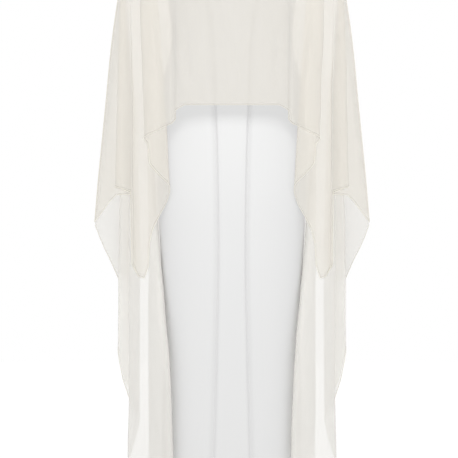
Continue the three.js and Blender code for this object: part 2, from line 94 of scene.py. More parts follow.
def smooth_step(value: Points) -> Points:
    """Eases values from 0 to 1, flat at both ends.

    Args:
        value: Numbers of any size, which are held between 0 and 1 first.

    Returns:
        The eased numbers.
    """
    held = np.clip(value, 0.0, 1.0)
    return held * held * (3 - 2 * held)


class HeightTable:
    """Smooth values between table entries that never overshoot them, by falling height."""

    def __init__(self, heights: Sequence[float], values: Sequence[float]) -> None:
        """Keeps the table and works out its slopes.

        Args:
            heights: The heights, from the highest to the lowest.
            values: One value for each height.
        """
        self.heights = np.asarray(heights, float)
        self.values = np.asarray(values, float)
        slopes = np.diff(self.values) / np.diff(self.heights)
        inner = np.zeros(len(slopes) - 1)
        before, after = slopes[:-1], slopes[1:]
        same = before * after > 0
        inner[same] = 2 * before[same] * after[same] / (before[same] + after[same])
        self.tangents = np.concatenate([slopes[:1], inner, slopes[-1:]])

    def at(self, height: Points) -> Points:
        """Reads the table.

        Args:
            height: Heights to read at, which are held inside the table.

        Returns:
            The value at each height.
        """
        z = np.clip(height, self.heights[-1], self.heights[0])
        i = np.clip(np.searchsorted(-self.heights, -z, side="right") - 1, 0, len(self.values) - 2)
        span = self.heights[i + 1] - self.heights[i]
        t = (z - self.heights[i]) / span
        return (
            self.values[i] * (1 + 2 * t) * (1 - t) ** 2
            + self.values[i + 1] * t * t * (3 - 2 * t)
            + span * (self.tangents[i] * t * (1 - t) ** 2 + self.tangents[i + 1] * t * t * (t - 1))
        )


def spline(before: Points, start: Points, end: Points, after: Points, share: Points) -> Points:
    """Points on a centripetal Catmull-Rom spline between `start` and `end`.

    Args:
        before: The control points before `start`, one row each.
        start: The control points where the stretch starts.
        end: The control points where it ends.
        after: The control points after `end`.
        share: How far along the stretch each point lies, from 0 to 1.

    Returns:
        One point for each row.
    """

    def knot(a: Points, b: Points) -> Points:
        """The room that the stretch between two control points takes on the spline."""
        return np.sum((b - a) ** 2, axis=-1, keepdims=True) ** 0.25

    middle = np.maximum(knot(start, end), SAME_POINT)
    first, last = knot(before, start), knot(end, after)
    first = np.where(first < SAME_POINT, middle, first)
    last = np.where(last < SAME_POINT, middle, last)
    leave = (start - before) / first - (end - before) / (first + middle) + (end - start) / middle
    arrive = (end - start) / middle - (after - start) / (middle + last) + (after - end) / last
    leave, arrive = leave * middle, arrive * middle
    t = np.reshape(share, np.shape(middle))
    return (
        start
        + leave * t
        + (3 * (end - start) - 2 * leave - arrive) * t**2
        + (2 * (start - end) + leave + arrive) * t**3
    )


def curve_points(control: Points, closed: bool, share: Points) -> Points:
    """Points along a whole spline through control points.

    Args:
        control: The control points, one row each.
        closed: True if the last joins the first.
        share: Places along the curve from 0 to 1, with equal room for each stretch.

    Returns:
        One point for each place.
    """
    count = len(control)
    stretches = count if closed else count - 1
    place = np.clip(share, 0, 1) * stretches
    i = np.minimum(place.astype(int), stretches - 1)
    if closed:
        pick = [control[(i + k) % count] for k in (-1, 0, 1, 2)]
    else:
        ends = np.vstack([2 * control[0] - control[1], control, 2 * control[-1] - control[-2]])
        pick = [ends[i + 1 + k] for k in (-1, 0, 1, 2)]
    return spline(*pick, place - i)


def along(points: Points) -> Points:
    """The distance of each point of a line from its first, in the points' own unit."""
    return np.concatenate([[0.0], np.cumsum(np.linalg.norm(np.diff(points, axis=0), axis=1))])


def mirrored(points: Points) -> Points:
    """The points seen in the gown's middle plane."""
    return points * np.array([-1.0, 1.0, 1.0])


# ---------------------------------------------------------------- the top edges

NECK_LINE = np.array(
    [
        (0, -92, -85),
        (45, -80, -70),
        (76, -44, -34),
        (88, 0, -8),
        (80, 34, -13),
        (48, 60, -22),
        (0, 70, -25),
    ],
    float,
)
# The neck line's point where the arm line starts.
HIGH_SHOULDER = 3
ARM_LINE = np.array(
    [
        (88, 0, -8),
        (140, 0, -23),
        (190, 0, -43),
        (226, 0, -68),
        (251, 0, -108),
        (268, 0, -165),
        (280, 0, -240),
        (290.5, 0, -330),
        (301.5, 0, -406),
        (310.5, 0, -483),
        (320, 0, -584),
        (330, 0, -686),
        (340, 0, -787),
        (349, 0, -894),
    ],
    float,
)
NECK_RING = np.vstack([NECK_LINE, mirrored(NECK_LINE[-2:0:-1])])
# The neck and the arm line are each measured in this many steps.
EDGE_STEPS = 400


class TopEdge:
    """One side's top edge: along the neck to the high shoulder point, and then down the arm seam."""

    def __init__(self, face: Face, inset: float = 0.0) -> None:
        """Measures the edge.

        Args:
            face: The side of the neck that the edge follows.
            inset: How far the edge lies in and down from the overlay's, in millimetres.
        """
        start = 0.0 if face is Face.FRONT else 0.5
        end = HIGH_SHOULDER / len(NECK_RING)
        neck = curve_points(NECK_RING, True, np.linspace(start, end, EDGE_STEPS + 1))
        arm = curve_points(ARM_LINE, False, np.linspace(0, 1, EDGE_STEPS + 1)[1:])
        self.points = np.vstack([neck, arm])
        self.lengths = along(self.points)
        self.neck_length = float(self.lengths[EDGE_STEPS])
        self.length = float(self.lengths[-1])
        self.inset = inset

    def at(self, distance: float) -> tuple[Points, bool]:
        """Finds a place on the edge.

        Args:
            distance: Millimetres from the gown's centre.

        Returns:
            The point, and whether it is past the neck.
        """
        held = min(distance, self.length)
        i = int(np.clip(np.searchsorted(self.lengths, held, side="right"), 1, len(self.lengths) - 1))
        before, after = self.points[i - 1], self.points[i]
        step = after - before
        share = (held - self.lengths[i - 1]) / (self.lengths[i] - self.lengths[i - 1])
        unit = step / np.linalg.norm(step)
        outward = np.array([-unit[2], 0.0, unit[0]])
        return before + step * share - outward * self.inset, held > self.neck_length


# ---------------------------------------------------------------- sheets and tubes


def add_object(name: str, data: bpy.types.ID) -> bpy.types.Object:
    """Makes an object and links it to the scene.

    Args:
        name: The object's name.
        data: Its mesh, curve, lamp or camera.

    Returns:
        The new object.
    """
    made = bpy.data.objects.new(name, data)
    bpy.context.scene.collection.objects.link(made)
    return made


def select_only(piece: bpy.types.Object) -> None:
    """Selects one object alone, for the operators that follow.

    Args:
        piece: The object.
    """
    bpy.ops.object.select_all(action="DESELECT")
    piece.select_set(True)
    bpy.context.view_layer.objects.active = piece


def apply_modifiers(piece: bpy.types.Object) -> None:
    """Makes an object's modifiers part of its mesh.

    Args:
        piece: The object, which keeps its name and materials.
    """
    select_only(piece)
    for modifier in list(piece.modifiers):
        bpy.ops.object.modifier_apply(modifier=modifier.name)


def face_outwards(piece: bpy.types.Object) -> None:
    """Turns a closed mesh's faces to point out of it.

    Args:
        piece: The object with the mesh.
    """
    select_only(piece)
    bpy.ops.object.mode_set(mode="EDIT")
    bpy.ops.mesh.select_all(action="SELECT")
    bpy.ops.mesh.normals_make_consistent(inside=False)
    bpy.ops.object.mode_set(mode="OBJECT")


def smooth_and_paint(mesh: bpy.types.Mesh, material: bpy.types.Material) -> None:
    """Shades a mesh smooth and gives it one material alone.

    Args:
        mesh: The mesh.
        material: Its finish.
    """
    mesh.polygons.foreach_set("use_smooth", np.ones(len(mesh.polygons), bool))
    mesh.materials.clear()
    mesh.materials.append(material)


@dataclass
class Sheet:
    """A grid of points across and down a piece of cloth, in millimetres, with its own flat coordinates."""

    name: str
    grid: Points
    thickness: float
    flat: Points = field(init=False)

    def __post_init__(self) -> None:
        """Measures the cloth across and down, for its weave."""
        down = np.linalg.norm(np.diff(self.grid, axis=0), axis=2)
        across = np.linalg.norm(np.diff(self.grid, axis=1), axis=2)
        rows, columns = self.grid.shape[:2]
        self.flat = np.zeros((rows, columns, 2))
        self.flat[1:, :, 1] = -np.cumsum(down, axis=0)
        middle_row = across[rows // 2]
        self.flat[:, 1:, 0] = np.cumsum(middle_row)[None, :]
        self.flat[:, :, 1] += self.grid[0, :, 2][None, :]

    def area(self) -> float:
        """The cloth's area in square metres.

        Returns:
            The area of its middle surface, with all its folds.
        """
        a, b = self.grid[:-1, :-1], self.grid[1:, :-1]
        c, d = self.grid[1:, 1:], self.grid[:-1, 1:]
        halves = np.cross(b - a, c - a), np.cross(c - a, d - a)
        return float(sum(np.linalg.norm(half, axis=2).sum() for half in halves) / 2) * MM * MM

    def build(self, material: bpy.types.Material) -> bpy.types.Object:
        """Makes the sheet's mesh, with an even thickness.

        Args:
            material: The cloth's finish.

        Returns:
            The new object, with its place in its mesh.
        """
        rows, columns = self.grid.shape[:2]
        mesh = bpy.data.meshes.new(self.name)
        index = np.arange(rows * columns).reshape(rows, columns)
        corners = np.stack([index[:-1, :-1], index[1:, :-1], index[1:, 1:], index[:-1, 1:]], axis=-1)
        corners = corners.reshape(-1, 4)
        middle = self.grid[rows // 2, columns // 2]
        side = np.cross(
            self.grid[rows // 2 + 1, columns // 2] - middle,
            self.grid[rows // 2, columns // 2 + 1] - middle,
        )
        if side @ (middle * np.array([1, 1, 0])) < 0:
            corners = corners[:, ::-1]
        mesh.from_pydata((self.grid.reshape(-1, 3) * MM).tolist(), [], corners.tolist())
        uv = mesh.uv_layers.new(name="cloth")
        flat = self.flat.reshape(-1, 2) * MM
        loops = np.empty(len(mesh.loops), np.int32)
        mesh.loops.foreach_get("vertex_index", loops)
        uv.data.foreach_set("uv", flat[loops].ravel())
        smooth_and_paint(mesh, material)
        piece = add_object(self.name, mesh)
        wall = piece.modifiers.new("wall", "SOLIDIFY")
        wall.thickness = self.thickness * MM
        wall.offset = 0.0
        wall.use_even_offset = False
        apply_modifiers(piece)
        return piece


def tube(
    name: str,
    lines: Sequence[Points],
    radius: float,
    material: bpy.types.Material,
    sides: int = 6,
) -> bpy.types.Object:
    """Makes a round tube along each line, as one mesh.

    Args:
        name: The new object's name.
        lines: Lines of points in millimetres.
        radius: The tube's radius in millimetres.
        material: Its finish.
        sides: The number of faces round the tube, an even number.

    Returns:
        The new object, with its place in its mesh.
    """
    data = bpy.data.curves.new(name, "CURVE")
    data.dimensions = "3D"
    data.bevel_depth = radius * MM
    data.bevel_resolution = sides // 2 - 1
    data.use_fill_caps = True
    data.resolution_u = 1
    for line in lines:
        path = data.splines.new("POLY")
        path.points.add(len(line) - 1)
        path.points.foreach_set("co", np.column_stack([line * MM, np.ones(len(line))]).ravel())
    select_only(add_object(name, data))
    bpy.ops.object.convert(target="MESH")
    piece = bpy.context.view_layer.objects.active
    piece.name = name
    smooth_and_paint(piece.data, material)
    return piece


# ---------------------------------------------------------------- the overlay

FRONT_HEM = -603.0
BACK_HEM = -1535.0
FRONT_LEVELS = (-110, -330, -600, -900)
BACK_LEVELS = (-110, -330, -650, -950, -1300, -1535)


@dataclass(frozen=True)
class Fold:
    """A line down half of a panel, in millimetres.

    It has a distance along the top edge from the gown's centre, a place at each of the panel's levels, and
    the height of its lower end.
    """

    name: str
    top: float
    x: tuple[float, ...]
    y: tuple[float, ...]
    hem: float


@dataclass(frozen=True)
class Crease:
    """A soft trough or ridge in a panel, between two folds of its table.

    The path gives x at heights from the highest to the lowest, in millimetres. A positive depth goes into
    the cloth, towards the wearer.
    """

    path: tuple[tuple[float, float], ...]
    depth: float
    width: float
    folds: tuple[str, str]
    side: int = 0


FRONT_FOLDS = (
    Fold("centre", 0, (0, 0, 0, 0), (-118, -158, -166, -166), FRONT_HEM),
    Fold("panel middle", 62, (52, 60, 65, 65), (-113, -154, -164, -164), FRONT_HEM),
    Fold("panel side", 130, (98, 110, 118, 118), (-98, -143, -158, -158), FRONT_HEM),
    Fold("panel roll", 164, (126, 138, 141, 141), (-90, -130, -146, -146), -617),
    Fold("valley wall", 178, (141, 147, 141, 141), (-85, -123, -128, -125), -637),
    Fold("valley", 190, (152, 157, 151, 151), (-83, -118, -118, -112), -648),
    Fold("lap right", 204, (164, 172, 165, 170), (-82, -119, -126, -125), -654),
    Fold("lap crest", 230, (187, 194, 188, 194), (-78, -124, -142, -144), -666),
    Fold("lap left", 266, (214, 227, 218, 214), (-66, -110, -126, -128), -680),
    Fold("lap turn", 270, (217, 231, 222, 217), (-62, -100, -112, -114), -686),
    Fold("lap return", 274, (220, 224, 213, 208), (-59, -91, -101, -102), -698),
    Fold("cascade edge", 277, (222, 218, 208, 205), (-57, -89, -99, -101), -746),
    Fold("cascade middle", 282, (226, 202, 190, 183), (-54, -84, -96, -100), -771),
    Fold("cascade turn", 290, (231, 188, 168, 150.5), (-50, -75, -86, -90), -806),
    Fold("under right", 296, (235, 194, 177, 158), (-48, -66, -73, -76), -838),
    Fold("under middle", 304, (239, 208, 197, 187), (-45, -62, -66, -66), -888),
    Fold("tongue shoulder", 308, (241, 216, 207, 199), (-44, -61, -65, -65), -911),
    Fold("tongue right", 312, (243, 222, 214, 208), (-42, -61, -64, -64), -948),
    Fold("tongue side", 316, (245, 228, 218, 211), (-40, -61, -64, -64), -1004),
    Fold("corner", 322, (248, 236, 228, 222), (-38, -61, -66, -65), -1036),
    Fold("tongue left", 330, (251, 246, 241, 236), (-35, -62, -68, -66), -1031),
    Fold("tongue fold", 336, (253, 255, 252, 249), (-33, -62, -69, -65), -1000),
    Fold("tongue tuck", 339, (254, 256, 247, 242), (-32, -59, -60.5, -55), -1022),
    Fold("side edge low", 343, (255, 260, 251.5, 253.5), (-31, -57.5, -57, -50), -1002),
    Fold("side edge high", 346, (256, 262, 254.5, 256), (-30, -57.5, -60, -54), -816),
    Fold("strip middle", 364, (260, 272, 275, 276), (-25, -61, -76, -78), -810),
    Fold("strip edge", 406, (266, 283, 289, 296), (-18, -56, -72, -74), -805),
    Fold("strip turn", 418, (267, 282, 287, 292), (-16, -49, -62, -62), -807),
    Fold("strip return", 430, (268, 276, 277, 280), (-14, -43, -52, -51), -810),
    Fold("inner turn", 456, (269, 267, 256, 252), (-12, -37, -42, -40), -824),
    Fold("outer middle", 530, (270, 279, 279, 279), (-9, -25, -28, -27), -824),
    Fold("outer corner", 610, (270, 284, 292, 294), (-7, -18, -24, -24), -826),
    Fold("outer side", 740, (271, 289, 306, 311), (-5, -11, -18, -19), -843),
    Fold("outer low", 940, (272, 291, 318, 333), (-4, -6, -10, -12), -872),
    Fold("sleeve tip", 1130, (272, 291, 322, 349), (-3.5, -3.5, -3.5, -3.5), -894),
)

BACK_FOLDS = (
    Fold("spine", 0, (0, 0, 0, 0, 0, 0), (108, 134, 168, 186, 202, 218), BACK_HEM),
    Fold("spine trough", 32, (29, 30, 31, 32, 33, 34), (106, 131, 156, 170, 180, 186), BACK_HEM),
    Fold("inner crest", 66, (62, 62, 64, 66, 68, 70), (102, 129, 162, 184, 202, 222), BACK_HEM),
    Fold("inner trough", 100, (94, 94, 98, 101, 104, 106), (96, 122, 145, 156, 162, 166), BACK_HEM),
    Fold("outer crest", 138, (126, 128, 134, 138, 140, 142), (88, 118, 146, 164, 176, 190), BACK_HEM),
    Fold("outer trough", 172, (158, 160, 166, 168, 170, 172), (78, 108, 126, 130, 128, 126), BACK_HEM),
    Fold("flank", 204, (186, 188, 196, 202, 204, 206), (68, 100, 112, 106, 92, 86), BACK_HEM),
    Fold("flank fold", 228, (206, 214, 218, 214, 213, 211), (60, 92, 100, 60, 34, 28), BACK_HEM),
    Fold("flank turn", 234, (211, 214, 214, 204, 194, 192), (58, 82, 86, 24, -36, -48), BACK_HEM),
    Fold("front turn", 240, (216, 212, 206, 184, 154, 146), (56, 74, 72, -26, -86, -94), BACK_HEM),
    Fold("face inner", 247, (221, 219, 212, 196, 163, 155), (54, 70, 64, -36, -94, -102), BACK_HEM),
    Fold("face middle", 262, (228, 238, 236, 232, 212, 208), (51, 68, 62, -8, -56, -62), BACK_HEM),
    Fold("face outer", 282, (237, 256, 256, 255, 252, 256), (46, 68, 62, 20, -8, -12), BACK_HEM),
    Fold("face turn", 290, (240, 261, 264, 263, 262, 267), (42, 69, 66, 30, 6, 4), -1512),
    Fold("inside return", 297, (242.5, 263.5, 258, 255, 254, 259), (40, 70, 74, 42, 18, 16), -1482),
    Fold("inside turn", 305, (245.5, 265.5, 244, 238, 238, 240), (38, 71, 80, 54, 32, 30), -1412),
    Fold("inside back", 312, (247.5, 267.2, 243, 236, 236, 238), (36.5, 72, 88, 66, 44, 42), -1388),
    Fold("lining run", 320, (249.5, 269, 256, 256, 256, 256), (35, 73, 90, 70, 50, 48), -1368),
    Fold("edge corner", 327, (251.5, 271, 264, 266, 264, 264), (33.5, 74, 88, 68, 50, 48), -1341),
    Fold("edge curve", 337, (254.5, 273.5, 274, 278, 279, 279), (31, 76, 86, 66, 50, 48), -1295),
    Fold("edge fold", 348, (257, 275.5, 280, 288, 290, 290), (29, 79, 84, 66, 52, 50), -1236),
    Fold("fold top", 354, (258.2, 276.6, 281, 290, 292, 292), (28, 82, 91, 74, 60, 58), -1212),
    Fold("fold return", 360, (259.4, 277, 277, 285, 286, 286), (27, 85.5, 99, 84, 70, 68), -1246),
    Fold("return curve", 368, (260.6, 277.2, 268, 273, 273, 273), (26, 89, 103, 88, 74, 72), -1300),
    Fold("inner edge low", 376, (261.8, 277.4, 257.5, 255, 255, 255), (25, 92.5, 104, 90, 78, 76), -1338),
    Fold("inner edge high", 390, (263.2, 279, 249, 249, 251, 251), (24, 97, 111.5, 97.5, 84, 82), -1062),
    Fold("wing fold", 402, (265.4, 283.5, 256, 255, 255, 255), (22, 100, 121, 108.5, 98, 98), -1042),
    Fold("wing inner", 440, (267.8, 288, 277, 276, 276, 276), (18, 93, 118, 108, 101, 101), -1040),
    Fold("wing corner", 500, (269, 289, 293, 291, 291, 291), (13, 74, 101, 94, 91, 91), -1040),
    Fold("wing middle", 640, (269, 289.6, 307, 309, 309, 309), (7, 42, 75, 68, 66, 66), -998),
    Fold("wing side", 860, (271, 290, 321, 333, 333, 333), (5, 16, 38, 38, 38, 38), -945),
    Fold("wing tip", 1010, (272, 291, 324, 344, 344, 344), (4, 6, 16, 20, 20, 20), -916),
    Fold("sleeve tip", 1128, (272, 291, 325, 349, 349, 349), (3.5, 3.5, 3.5, 3.5, 3.5, 3.5), -902),
)

FRONT_CREASES = (
    Crease(((202, -330), (183, -457), (178, -560)), 5.0, 9.0, ("lap right", "lap crest")),
    Crease(((258, -482), (259, -610), (262, -805)), 5.0, 6.0, ("strip middle", "strip edge")),
    Crease(((120, -450), (112, -510), (106, -556)), 2.5, 10.0, ("panel middle", "panel roll")),
    Crease(((38, -330), (52, -420), (58, -590)), 2.0, 18.0, ("centre", "panel side"), -1),
    Crease(((64, -340), (46, -450), (40, -596)), 2.0, 16.0, ("centre", "panel side"), 1),
    Crease(((116, -400), (110, -480), (106, -560)), 3.0, 7.0, ("panel middle", "panel roll")),
    Crease(((201, -340), (196, -470), (180, -560)), -2.5, 6.0, ("valley", "lap crest")),
    Crease(((222, -480), (216, -600), (210, -640)), 2.0, 6.0, ("lap crest", "lap left")),
    Crease(((259, -480), (256, -640), (250, -820)), 3.0, 6.0, ("tongue left", "tongue fold")),
    Crease(((240, -720), (236, -850), (230, -990)), 2.5, 8.0, ("corner", "tongue fold")),
)
BACK_CREASES = (
    Crease(((236, -1150), (240, -1300), (246, -1500)), 4.0, 9.0, ("face middle", "face outer")),
    Crease(((14, -300), (20, -700), (16, -1200)), 4.0, 9.0, ("spine", "spine trough")),
    Crease(((80, -260), (92, -620), (86, -1100)), 4.0, 10.0, ("inner crest", "inner trough")),
    Crease(((150, -420), (158, -900), (154, -1480)), 4.0, 9.0, ("outer crest", "outer trough")),
)

# About the widest space between two columns of a panel.
COLUMN_SPACING = 6.5
# The upper rows of a column lie within this distance of its top, are this share of all its rows, and are
# crowded towards the top by this power.
UPPER_DROP = 280.0
UPPER_SHARE = 0.5
ROW_CROWDING = 1.5
# Below its top edge the cloth comes to the line of its folds within this distance, or within this share
# of its length if that is less.
SETTLE = 130.0
SETTLE_SHARE = 0.7
# A crease fades out over this share of its length at each end.
CREASE_FADE = 0.22
# The ripples are full this far below the top edge.
RIPPLE_START = 200.0
# They move the cloth sideways by this share of their reach. That part is read elsewhere, so that the two
# ways don't move together: this far along, and at these shares of the place across and of the height.
SIDEWAYS_RIPPLE = 0.7
SIDEWAYS_START = 400.0
SIDEWAYS_STRETCH = (0.3, 1.7)


def row_drop(share: Points, length: float) -> Points:
    """Spaces the rows of a column: crowded towards its top edge, and level from column to column high up.

    Args:
        share: Places down the column from 0 to 1.
        length: The column's length in millimetres.

    Returns:
        The distance of each row below the column's top.
    """
    upper = min(UPPER_DROP, length / 2)
    low = (share - UPPER_SHARE) / (1 - UPPER_SHARE)
    high = (np.minimum(share, UPPER_SHARE) / UPPER_SHARE) ** ROW_CROWDING
    return np.where(share <= UPPER_SHARE, upper * high, upper + (length - upper) * low)


@dataclass(frozen=True)
class Ripple:
    """A faint unevenness that moves all the layers of cloth at a place together."""

    reach: float
    widths: tuple[float, ...] = (71, 113, 47, 163)
    heights: tuple[float, ...] = (310, 520, 230, 860)
    phases: tuple[float, ...] = (0.7, 2.9, 4.4, 1.6)

    def at(self, x: Points, z: Points) -> Points:
        """Gives the shift at places on the gown.

        Args:
            x: Places across the gown in millimetres.
            z: Heights in millimetres.

        Returns:
            The shift in millimetres, at most the ripple's reach.
        """
        total = np.zeros(np.broadcast(x, z).shape)
        for width, height, phase in zip(self.widths, self.heights, self.phases):
            total += np.sin(math.tau * (x / width + z / height) + phase)
        return self.reach * total / len(self.widths)


@dataclass
class OverlayPanel:
    """A wide chiffon panel, both halves in one piece, hung from its top edge in long folds."""

    name: str
    face: Face
    folds: tuple[Fold, ...]
    levels: tuple[float, ...]
    creases: tuple[Crease, ...]
    rows: int
    thickness: float = 0.6
    hem_radius: float = 0.7
    ripple: Ripple = Ripple(1.5)

    def __post_init__(self) -> None:
        """Prepares the tables of the folds."""
        self.edge = TopEdge(self.face)
        self.x_tables = [HeightTable(self.levels, fold.x) for fold in self.folds]
        self.y_tables = [HeightTable(self.levels, fold.y) for fold in self.folds]
        self.order = {fold.name: i for i, fold in enumerate(self.folds)}

    def fold_place(self, i: int, z: Points) -> Points:
        """One fold's place at each height; a negative index is the same fold on the other half.

        Args:
            i: The fold's index in the table.
            z: The heights.

        Returns:
            One point for each height.
        """
        sign = -1.0 if i < 0 else 1.0
        i = abs(i)
        return np.column_stack([sign * self.x_tables[i].at(z), self.y_tables[i].at(z), z])

    def section(self, place: float, z: Points) -> Points:
        """The panel's form at one place across it.

        Args:
            place: The place in the table: 0 at its first fold, 1 at its second, and so on.
            z: The heights.

        Returns:
            One point for each height.
        """
        last = len(self.folds) - 1
        i = min(int(place), last - 1)
        start, end = self.fold_place(i, z), self.fold_place(i + 1, z)
        before = self.fold_place(i - 1, z)
        after = self.fold_place(i + 2, z) if i + 2 <= last else 2 * end - start
        points = spline(before, start, end, after, np.full(len(z), place - i))
        points[:, 2] = z
        return points

    def places(self) -> Points:
        """Places of the columns in the table, closer together where the cloth turns.

        Returns:
            The places, from the first fold to the last.
        """
        found = [0.0]
        for i in range(len(self.folds) - 1):
            z = np.array(self.levels, float)
            reach = np.linalg.norm(self.fold_place(i + 1, z) - self.fold_place(i, z), axis=1).max()
            count = max(3, math.ceil(reach / COLUMN_SPACING))
            found += [i + k / count for k in range(1, count + 1)]
        return np.array(found)

    def column(self, place: float) -> Points:
        """The points down the cloth at one place of the table, from its top edge to its hem.

        Args:
            place: The place in the table.

        Returns:
            One point for each row of the grid.
        """
        last = len(self.folds) - 1
        rows = np.arange(len(self.folds), dtype=float)
        top_length = float(np.interp(place, rows, [fold.top for fold in self.folds]))
        hem = float(np.interp(place, rows, [fold.hem for fold in self.folds]))
        top = self.edge.points[-1] if place == last else self.edge.at(top_length)[0]
        share = np.linspace(0, 1, self.rows + 1)
        z = top[2] - row_drop(share, top[2] - hem)
        correction = top - self.section(place, top[2:3])[0]
        reach = min(SETTLE, SETTLE_SHARE * (top[2] - hem))
        fade = (1 - np.minimum((top[2] - z) / reach, 1)) ** 2
        points = self.section(place, z) + fade[:, None] * correction
        points[:, 2] = z
        return points

    def crease_shift(self, place: Points, x: Points, z: Points, side: int) -> Points:
        """How far the creases push one half of the panel towards the wearer.

        Args:
            place: Each column's place in the table.
            x: The distance of each point from the gown's middle.
            z: Its height.
            side: 1 for the wearer's left half and -1 for the right.

        Returns:
            A shift for each point in millimetres.
        """
        total = np.zeros_like(x)
        for crease in self.creases:
            if crease.side * side < 0:
                continue
            low, high = (self.order[name] for name in crease.folds)
            heights = [point[1] for point in crease.path]
            centre = HeightTable(heights, [point[0] for point in crease.path]).at(z)
            fade = CREASE_FADE * (heights[0] - heights[-1])
            ends = smooth_step((heights[0] - z) / fade) * smooth_step((z - heights[-1]) / fade)
            inside = smooth_step((place - low + 0.5) * 2) * smooth_step((high + 0.5 - place) * 2)
            bell = np.exp(-(((x - centre) / crease.width) ** 2))
            total += crease.depth * bell * ends * inside[None, :]
        return total

    def sheet(self) -> Sheet:
        """Builds the panel's grid, with its creases and ripples.

        Returns:
            The whole panel, both halves in one.
        """
        places = self.places()
        half = np.stack([self.column(float(place)) for place in places], axis=1)
        sides = []
        for side in (-1, 1):
            grid = half.copy()
            shift = self.crease_shift(places, grid[..., 0], grid[..., 2], side)
            grid[..., 1] -= self.face.value * shift
            grid[..., 0] *= side
            sides.append(grid)
        grid = np.concatenate([sides[0][:, :0:-1], sides[1]], axis=1)
        depth = smooth_step((grid[0, :, 2][None, :] - grid[..., 2]) / RIPPLE_START)
        x, z = grid[..., 0].copy(), grid[..., 2].copy()
        grid[..., 1] += depth * self.ripple.at(x, z)
        across, down = SIDEWAYS_STRETCH
        grid[..., 0] += SIDEWAYS_RIPPLE * depth * self.ripple.at(across * x + SIDEWAYS_START, down * z)
        return Sheet(self.name, grid, self.thickness)


# ---------------------------------------------------------------- the dress


@dataclass(frozen=True)
class Ring:
    """The column dress at one height, in millimetres, with the place of its front seams."""

    z: float
    half_width: float
    front: float
    back: float
    seam: float


DRESS_HEM = -1520.0
DRESS_RINGS = (
    Ring(-20, 150, 66, 60, 118),
    Ring(-110, 152, 92, 84, 108),
    Ring(-215, 166, 116, 98, 92),
    Ring(-280, 168, 122, 100, 82),
    Ring(-420, 152, 108, 94, 54),
    Ring(-600, 186, 116, 120, 46),
    Ring(-800, 188, 118, 116, 40),
    Ring(-965, 181, 112, 110, 38.5),
    Ring(-1200, 174, 108, 108, 43),
    Ring(DRESS_HEM, 178, 112, 116, 52),
)
# A ring is an oval of this power: 2 is a plain ellipse, and more is squarer.
RING_SQUARENESS = 2.3
# The armhole's drop below the shoulder's outer end, by the share of the way from there to the side seam.
ARMHOLE = HeightTable((1, 0.8, 0.55, 0.3, 0), (188, 168, 120, 60, 0))
SHOULDER_SHARE = 0.15
SHOULDER_LENGTH = 62.0
BACK_SHOULDER_SHARE = 0.55
SHOULDER_INSET = 4.8
# The dress's neck reaches this share as far forwards and back as the overlay's.
NECK_SHRINK = 0.94
SEAM_TOP_PAST_NECK = 32.0
# The cloth rolls in by this much along each front seam, and by just over a third of that at this distance.
SEAM_DIP = 7.5
SEAM_DIP_WIDTH = 8.0
# The shares across a piece where its columns lie: evenly, with more beside its two side edges.
EVEN_SHARES = np.linspace(0, 1, 34)
EDGE_SHARES = (0.004, 0.012, 0.02, 0.98, 0.988, 0.996)


